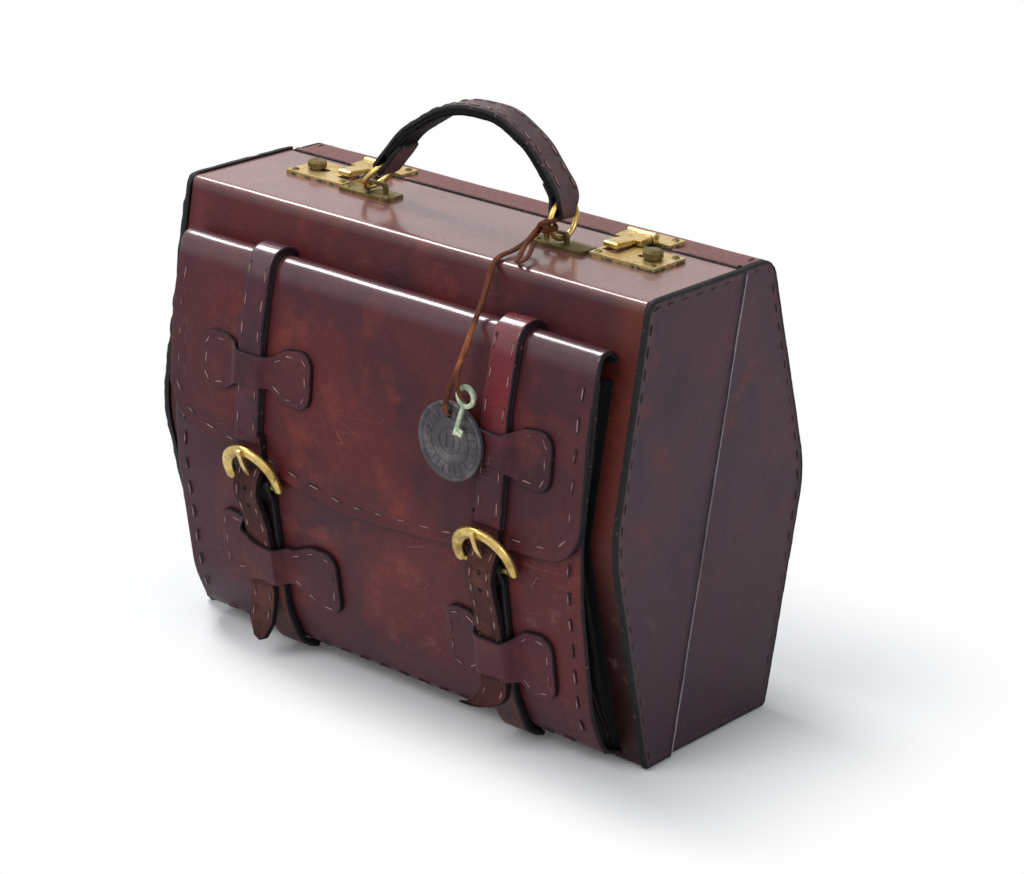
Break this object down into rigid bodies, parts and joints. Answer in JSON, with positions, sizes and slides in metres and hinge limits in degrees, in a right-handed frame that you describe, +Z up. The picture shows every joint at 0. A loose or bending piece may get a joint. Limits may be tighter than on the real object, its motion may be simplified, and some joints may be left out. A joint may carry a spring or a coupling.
{
  "type": "leather travel case",
  "caption": "Hand-stitched leather travel case of two hinged shells, with a buckled flap pocket on its front, hasp locks, a ringed handle and a tag on a thong.",
  "frame": {"origin": "centre of the base's underside, between the end panels", "axes": "+X to the right seen from the front, +Y to the back, +Z up"},
  "size_m": [0.44, 0.2579, 0.439],
  "materials": {
    "oxblood_leather": "polished, worn",
    "dusk_leather": "polished, worn",
    "raw_leather": "matt",
    "black_leather": "matt edges",
    "lined_board": "board with a cloth lining",
    "brass": "worn",
    "old_brass": "dull patina",
    "dark_metal": "dark patina"
  },
  "bodies": {
    "case_back": {"rear_cover": "oxblood_leather", "rear_end_left": "dusk_leather", "rear_end_right": "dusk_leather", "rear_tray": "lined_board", "bottom_hinge": "oxblood_leather", "hasp_plate_left": "brass", "hasp_plate_right": "brass", "hasp_pins": "old_brass", "rear_screws": "old_brass"},
    "case_front": {"front_cover": "oxblood_leather", "front_end_left": "dusk_leather", "front_end_right": "dusk_leather", "front_tray": "lined_board", "lock_plate_left": "brass", "lock_plate_right": "brass", "lock_screws": "old_brass", "handle_base_left": "brass", "handle_base_right": "brass", "base_screws": "old_brass", "pocket_front": "oxblood_leather", "gusset_left": "black_leather", "gusset_right": "black_leather", "chape_left": "oxblood_leather", "chape_right": "oxblood_leather", "lower_keeper_left": "oxblood_leather", "lower_keeper_right": "oxblood_leather", "flap_root": "oxblood_leather", "thong": "raw_leather", "thong_end": "raw_leather"},
    "flap": {"flap": "oxblood_leather", "flap_fold": "oxblood_leather", "flap_hem": "oxblood_leather", "strap_fold_left": "oxblood_leather", "strap_fold_right": "oxblood_leather", "strap_left": "oxblood_leather", "strap_right": "oxblood_leather", "billet_left": "raw_leather", "billet_right": "raw_leather", "upper_keeper_left": "oxblood_leather", "upper_keeper_right": "oxblood_leather"},
    "buckle_left": {"buckle_left": "brass"},
    "buckle_right": {"buckle_right": "brass"},
    "prong_left": {"prong_left": "old_brass"},
    "prong_right": {"prong_right": "old_brass"},
    "hasp_left": {"hasp_left": "brass"},
    "hasp_right": {"hasp_right": "brass"},
    "slider_left": {"slider_left": "old_brass"},
    "slider_right": {"slider_right": "old_brass"},
    "handle": {"handle_strap": "dusk_leather", "handle_core": "black_leather", "ring_left": "old_brass", "ring_right": "old_brass"},
    "tag": {"tag": "dark_metal"},
    "key": {"key": "brass"}
  },
  "joints": [
    {"name": "lid", "type": "hinge", "parent": "case_back", "child": "case_front", "pos_m": [0, -0.0475, 0], "axis": [1, 0, 0], "range_deg": [0, 100], "deforming": ["bottom_hinge"]},
    {"name": "flap_lift", "type": "hinge", "parent": "case_front", "child": "flap", "pos_m": [0, -0.106, 0.305], "axis": [-1, 0, 0], "range_deg": [0, 130], "deforming": ["flap_fold", "flap_hem", "strap_fold_left", "strap_fold_right", "billet_left", "billet_right", "thong", "thong_end"]},
    {"name": "buckle_left_turn", "type": "hinge", "parent": "case_front", "child": "buckle_left", "pos_m": [-0.109, -0.13233, 0.146], "axis": [1, 0, 0], "range_deg": [0, 60]},
    {"name": "prong_left_turn", "type": "hinge", "parent": "buckle_left", "child": "prong_left", "pos_m": [-0.109, -0.13233, 0.146], "axis": [1, 0, 0], "range_deg": [0, 80]},
    {"name": "buckle_right_turn", "type": "hinge", "parent": "case_front", "child": "buckle_right", "pos_m": [0.119, -0.13233, 0.146], "axis": [1, 0, 0], "range_deg": [0, 60]},
    {"name": "prong_right_turn", "type": "hinge", "parent": "buckle_right", "child": "prong_right", "pos_m": [0.119, -0.13233, 0.146], "axis": [1, 0, 0], "range_deg": [0, 80]},
    {"name": "hasp_left_lift", "type": "hinge", "parent": "case_back", "child": "hasp_left", "pos_m": [-0.1245, 0.015, 0.3565], "axis": [-1, 0, 0], "range_deg": [0, 160]},
    {"name": "slider_left_pull", "type": "slide", "parent": "case_front", "child": "slider_left", "axis": [1, 0, 0], "range_m": [0, 0.01], "stiffness_N_per_m": 150, "springref_m": -0.002},
    {"name": "hasp_right_lift", "type": "hinge", "parent": "case_back", "child": "hasp_right", "pos_m": [0.1305, 0.015, 0.3565], "axis": [-1, 0, 0], "range_deg": [0, 160]},
    {"name": "slider_right_pull", "type": "slide", "parent": "case_front", "child": "slider_right", "axis": [-1, 0, 0], "range_m": [0, 0.01], "stiffness_N_per_m": 150, "springref_m": -0.002},
    {"name": "handle_swing", "type": "hinge", "parent": "case_front", "child": "handle", "pos_m": [0.003, -0.0305, 0.3702], "axis": [1, 0, 0], "range_deg": [-65, 65], "deforming": ["thong"]},
    {"name": "tag_swing", "type": "hinge", "parent": "flap", "child": "tag", "pos_m": [0.0905, -0.1416, 0.253], "axis": [0, 1, 0], "range_deg": [-15, 15]},
    {"name": "key_swing", "type": "hinge", "parent": "flap", "child": "key", "pos_m": [0.11, -0.1475, 0.272], "axis": [0, 1, 0], "range_deg": [-12, 12]}
  ]
}
